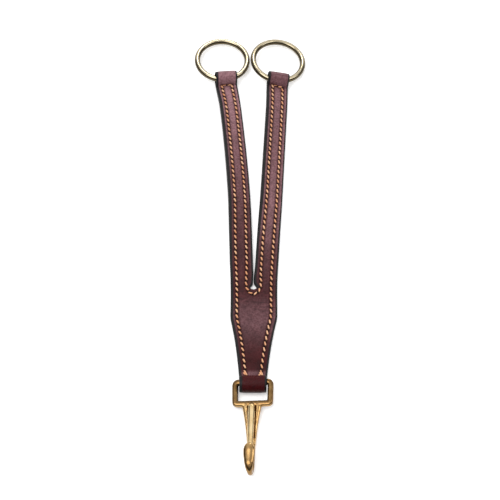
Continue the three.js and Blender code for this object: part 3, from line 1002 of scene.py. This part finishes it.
# Colours are from 0 to 255, as seen on a screen.
LEATHERS = {  # dyed deep, worn warm and redder in its folds, and how rough it is at least
    "burgundy_leather": ((46, 8, 10), (66, 15, 18), (66, 8, 12), 0.32),
    "burgundy_lining": ((62, 24, 26), (84, 36, 38), (72, 24, 24), 0.48),
}
BRASSES = {  # bright, dull, and the dark colour of tarnish in hollows and of painted shade, and how rough it is at least
    "pale_brass": ((198, 186, 160), (184, 170, 140), (74, 64, 44), 0.10),
    "hook_brass": ((190, 156, 106), (158, 122, 76), (72, 48, 24), 0.18),
    "tongue_brass": ((240, 214, 166), (222, 188, 134), (84, 56, 28), 0.15),
}
GLOW = 0.3  # how strongly the table is lit from below


def linear(red, green, blue):
    """A screen colour as the linear colour that a shader takes."""
    def channel(value):
        value /= 255
        return value / 12.92 if value <= 0.04045 else ((value + 0.055) / 1.055) ** 2.4
    return (channel(red), channel(green), channel(blue), 1.0)


class Shader:
    """The nodes of a material or a world. An input is fed a value, a screen colour or an output."""

    def __init__(self, owner, surface="Principled BSDF"):
        self.owner = owner
        owner.use_nodes = True
        self.tree = owner.node_tree
        self.surface = self.tree.nodes[surface]

    def feed(self, socket, value):
        if isinstance(value, bpy.types.NodeSocket):
            self.tree.links.new(value, socket)
        else:
            socket.default_value = linear(*value) if socket.type == "RGBA" else value

    def set(self, **inputs):
        """Sets inputs of the surface; an underscore stands for a space."""
        for name, value in inputs.items():
            self.feed(self.surface.inputs[name.replace("_", " ")], value)

    def add(self, kind, feeds, output=0, **settings):
        """Adds a node and gives one of its outputs."""
        node = self.tree.nodes.new(f"ShaderNode{kind}")
        for name, value in settings.items():
            setattr(node, name, value)
        for socket, value in feeds.items():
            self.feed(node.inputs[socket], value)
        return node.outputs[output]

    def attribute(self, name, output="Fac"):
        return self.add("Attribute", {}, output, attribute_name=name)

    def object_place(self):
        return self.add("TexCoord", {}, "Object")

    def math(self, operation, a, b=0.0, clamp=False):
        return self.add("Math", {0: a, 1: b}, operation=operation, use_clamp=clamp)

    def times(self, a, b, clamp=False):
        return self.math("MULTIPLY", a, b, clamp)

    def from_value(self, a, value):
        return self.math("ABSOLUTE", self.math("SUBTRACT", a, value))

    def scaled(self, vector, factors):
        return self.add("VectorMath", {0: vector, 1: factors}, operation="MULTIPLY")

    def along(self, place, axis):
        return self.add("SeparateXYZ", {0: place}, axis)

    def noise(self, vector, scale, detail=3.0, roughness=0.55, distortion=0.0):
        return self.add("TexNoise", {"Vector": vector, "Scale": scale, "Detail": detail,
                                     "Roughness": roughness, "Distortion": distortion})

    def cells(self, vector, scale):
        return self.add("TexVoronoi", {"Vector": vector, "Scale": scale}, "Distance",
                        feature="DISTANCE_TO_EDGE")

    def between(self, value, start, end, low=0.0, high=1.0):
        """low where value is below start, high where it is above end, and smooth in between."""
        feeds = dict(enumerate((value, start, end, low, high)))
        return self.add("MapRange", feeds, interpolation_type="SMOOTHSTEP")

    def mix(self, factor, a, b):
        """a where the factor is 0 and b where it is 1."""
        return self.add("Mix", {"Factor": factor, 6: a, 7: b}, 2, data_type="RGBA")

    def bump(self, height, distance, strength=1.0, normal=None):
        feeds = {"Height": height, "Distance": distance * MM, "Strength": strength}
        if normal:
            feeds["Normal"] = normal
        return self.add("Bump", feeds)


def edge_paint():
    """Black edge paint: a little uneven, and slightly worn to a dark brown."""
    sh = Shader(bpy.data.materials.new("edge_paint"))
    place = sh.attribute("grain_place", "Vector")
    uneven = sh.noise(place, 0.9, 3)
    colour = sh.mix(sh.between(uneven, 0.45, 0.75), (12, 11, 13), (30, 22, 24))
    sh.set(Base_Color=colour, Roughness=sh.between(uneven, 0.3, 0.7, 0.42, 0.6))
    sh.set(Normal=sh.bump(uneven, 0.12, 0.6), Specular_IOR_Level=0.25)
    return sh.owner


def paint_edges(piece, paint):
    """Gives the walls and rounded edges of a leather piece the edge paint."""
    mesh = piece.data
    mesh.materials.append(paint)
    painted = np.zeros(len(mesh.vertices))
    mesh.attributes["paint"].data.foreach_get("value", painted)
    for face in mesh.polygons:
        if painted[list(face.vertices)].mean() < EDGE_PAINTED:
            face.material_index = 1


def leather_patterns(sh):
    """What a leather's colour, roughness and relief are made from."""
    place = sh.attribute("grain_place", "Vector")
    seen = {name: sh.attribute(name) for name in ("paint", "row", "hole", "fold", "painted_sheen")}
    seen["mottle"] = sh.noise(place, 0.11, 4, 0.6)
    seen["cloud"] = sh.noise(place, 0.035, 2)
    seen["pebble"] = sh.noise(place, 0.75, 4, 0.65)
    seen["grain"] = sh.cells(place, 1.5)
    seen["crease"] = sh.noise(sh.scaled(place, (0.09, 0.70, 0.4)), 0.9, 4, 0.6, 0.8)
    seen["creased"] = sh.between(sh.from_value(sh.along(place, "Y"), 1.0), 4.0, 12.0, 1.0, 0.15)
    return seen


def leather_colour(sh, seen, deep, warm, folded):
    """The dyed colour: mottled, clouded, redder round the folds and dark in its pores."""
    colour = sh.mix(sh.between(seen["mottle"], 0.34, 0.66), deep, warm)
    colour = sh.mix(sh.between(seen["cloud"], 0.35, 0.7, 0.0, 0.45), colour, deep)
    colour = sh.mix(sh.times(seen["fold"], 0.6), colour, folded)
    return sh.mix(sh.between(seen["pebble"], 0.48, 0.72, 0.0, 0.5), colour, (24, 7, 9))


def with_painted_sheen(sh, seen, colour):
    """A painted sheen on the leather, standing in for the lights' reflection: weaker in its pores and
    in the grooves.
    """
    wax_and_sheen = sh.times(seen["painted_sheen"], sh.between(seen["pebble"], 0.35, 0.66, 1.0, 0.5))
    wax_and_sheen = sh.times(wax_and_sheen, sh.between(seen["row"], 0.9, 2.4, 0.25, 1.0))
    wax_and_sheen = sh.times(wax_and_sheen, sh.between(seen["mottle"], 0.3, 0.7, 0.8, 1.15), clamp=True)
    # the pale mauve of the painted sheen
    return sh.mix(wax_and_sheen, colour, (156, 116, 122))


def with_painted_shade_and_paint_rim(sh, seen, colour):
    """Painted shade in the creases, the stitch grooves and the holes, and the rim of the edge paint,
    which is darker.
    """
    # painted shade in the creases across the yoke
    creases = sh.times(sh.between(seen["crease"], 0.50, 0.66, 0.0, 0.6), seen["creased"])
    colour = sh.mix(creases, colour, (26, 8, 10))
    # painted shade in the stitch grooves
    colour = sh.mix(sh.between(seen["row"], 0.3, 1.3, 0.75, 0.0), colour, (26, 8, 8))
    # painted shade in the stitch holes
    colour = sh.mix(sh.between(seen["hole"], 0.5, 1.4, 1.0, 0.0), colour, (30, 10, 6))
    return sh.mix(sh.between(seen["paint"], 1.0, 1.6, 0.8, 0.0), colour, (18, 11, 13))


def leather_roughness(sh, seen, least):
    """Rougher in its pores and grooves, and smoother where it is folded."""
    rough = sh.between(seen["pebble"], 0.3, 0.7, least, least + 0.16)
    rough = sh.math("ADD", rough, sh.between(seen["row"], 0.3, 1.2, 0.25, 0.0))
    return sh.math("ADD", rough, sh.times(seen["fold"], -0.08), clamp=True)


def leather_relief(sh, seen):
    skin = sh.bump(sh.between(seen["grain"], 0.0, 0.16), 0.05, 0.9)
    skin = sh.bump(seen["pebble"], 0.22, 0.9, skin)
    skin = sh.bump(sh.times(seen["crease"], seen["creased"]), 0.45, 0.8, skin)
    return sh.bump(seen["mottle"], 0.6, 0.7, skin)


def leather_material(name):
    """Waxed strap leather: grain, soft mottling, creases across the yoke, a painted sheen, and
    painted shade in its creases, grooves and holes.
    """
    *dyes, roughness = LEATHERS[name]
    sh = Shader(bpy.data.materials.new(name))
    seen = leather_patterns(sh)
    colour = with_painted_sheen(sh, seen, leather_colour(sh, seen, *dyes))
    sh.set(Base_Color=with_painted_shade_and_paint_rim(sh, seen, colour), Normal=leather_relief(sh, seen))
    sh.set(Roughness=leather_roughness(sh, seen, roughness), Specular_IOR_Level=0.13)
    return sh.owner


def thread_material():
    """Waxed two-ply linen: twisted strands, tone by stitch, and painted shade where it dives into its
    holes.
    """
    sh = Shader(bpy.data.materials.new("waxed_thread"))
    place = sh.object_place()
    fibre = sh.noise(sh.scaled(place, (1.0, 0.25, 1.0)), 9000.0, 2)
    wax_and_sheen = sh.noise(place, 900.0, 3)
    colour = sh.mix(sh.attribute("tone"), (218, 146, 98), (246, 192, 148))
    colour = sh.mix(sh.between(fibre, 0.4, 0.7, 0.0, 0.25), colour, (170, 100, 58))
    ends = sh.from_value(sh.attribute("run"), 0.5)
    # painted shade towards each end of a stitch, where it dives into its hole
    colour = sh.mix(sh.between(ends, 0.20, 0.42, 0.0, 0.95), colour, (66, 26, 11))
    sh.set(Base_Color=colour, Roughness=sh.between(wax_and_sheen, 0.3, 0.7, 0.45, 0.75))
    sh.set(Normal=sh.bump(fibre, 0.08, 0.7), Sheen_Weight=0.2, Sheen_Roughness=0.5)
    return sh.owner


def brass_material(name):
    """Polished brass: fine rubbing marks, small pits, dull tarnish in its hollows, and the darkening
    a piece asks for, which is painted shade on the rings' flanks.
    """
    bright, dull, tarnish_and_shade, roughness = BRASSES[name]
    sh = Shader(bpy.data.materials.new(name))
    place = sh.object_place()
    hollow = sh.between(sh.add("NewGeometry", {}, "Pointiness"), 0.44, 0.50, 1.0, 0.0)
    cloud = sh.noise(place, 140.0, 3)
    rub = sh.noise(sh.scaled(place, (1.0, 0.06, 1.0)), 2600.0, 3)
    pits = sh.noise(place, 1500.0, 2)
    colour = sh.mix(sh.between(cloud, 0.35, 0.7), bright, dull)
    colour = sh.mix(sh.times(hollow, 0.55), colour, tarnish_and_shade)
    # darkening by the piece's own attribute: painted shade on the rings' flanks, a darker eye and tip
    # on the hook
    colour = sh.mix(sh.attribute("tarnish_and_shade"), colour, tarnish_and_shade)
    rough = sh.between(rub, 0.35, 0.7, roughness, roughness + 0.07)
    rough = sh.math("ADD", rough, sh.times(hollow, 0.15))
    worn = sh.bump(cloud, 0.03, 0.15, sh.bump(pits, 0.003, 0.2))
    sh.set(Base_Color=colour, Metallic=1.0, Roughness=rough, Normal=worn)
    return sh.owner


def floor_material():
    """A white table, softly lit from below."""
    sh = Shader(bpy.data.materials.new("pale_floor"))
    tone = sh.noise(sh.object_place(), 30.0, 2)
    sh.set(Base_Color=sh.mix(tone, (250, 250, 250), (254, 254, 254)), Roughness=0.9)
    sh.set(Emission_Color=(255, 255, 255), Emission_Strength=GLOW)
    return sh.owner


def finish_with(material, pieces):
    for piece in pieces:
        piece.data.materials.append(material)


# --- stage ---

ROOM_LIGHT = (0.12, 1.05)  # where the room is darkest and brightest


def add_floor():
    half, count = 9000.0, 21
    ticks = np.linspace(-half, half, count)
    points = [(x, y, -0.05) for y in ticks for x in ticks]
    faces = [(i * count + j, i * count + j + 1, (i + 1) * count + j + 1, (i + 1) * count + j)
             for i in range(count - 1) for j in range(count - 1)]
    floor = mesh_object("floor", points, faces)
    floor.data.materials.append(floor_material())


def add_light(name, place, size, watts):
    """A softbox that faces the strap. Its place and size are in metres."""
    aim = Vector((0, 0.05, 0))
    data = bpy.data.lights.new(name, "AREA")
    data.shape = "RECTANGLE"
    data.size, data.size_y = size
    data.energy = watts
    light = linked(name, data)
    light.location = place
    light.rotation_euler = (aim - Vector(place)).to_track_quat("-Z", "Y").to_euler()


def add_lights():
    add_light("back_softbox", (0.05, 1.15, 1.10), (0.30, 0.22), 2.0)
    add_light("top_softbox", (-0.5, -0.2, 1.4), (0.8, 0.8), 9)
    add_light("side_strip", (0.9, 0.1, 1.0), (0.25, 1.0), 3)


def add_world():
    """A room with a bright ceiling and far wall, and darker walls low down on its other sides."""
    world = bpy.data.worlds.new("room")
    bpy.context.scene.world = world
    room = Shader(world, "Background")
    place = room.add("TexCoord", {}, "Generated")
    ceiling = room.between(room.along(place, "Z"), 0.50, 0.82, *ROOM_LIGHT)
    far_wall = room.between(room.along(place, "Y"), 0.45, 0.75, *ROOM_LIGHT)
    room.set(Color=(255, 255, 255), Strength=room.math("MAXIMUM", ceiling, far_wall))


# --- the whole ---

FRONTS, LININGS = zip(add_yoke(), *(add_arm(arm) for arm in ARMS))
STITCHES = [*add_front_stitches(), *add_back_stitches()]
RINGS = [add_ring(arm) for arm in ARMS]
HOOK, TONGUE_LEAF, RIVET_HEAD = add_hook(), add_tongue(), add_rivet()

finish_with(leather_material("burgundy_leather"), FRONTS)
finish_with(leather_material("burgundy_lining"), LININGS)
PAINT = edge_paint()
for piece in [*FRONTS, *LININGS]:
    paint_edges(piece, PAINT)
finish_with(thread_material(), STITCHES)
finish_with(brass_material("pale_brass"), RINGS)
finish_with(brass_material("hook_brass"), [HOOK, RIVET_HEAD])
finish_with(brass_material("tongue_brass"), [TONGUE_LEAF])

add_floor()
add_lights()
add_world()
bpy.context.scene.view_settings.view_transform = "Standard"
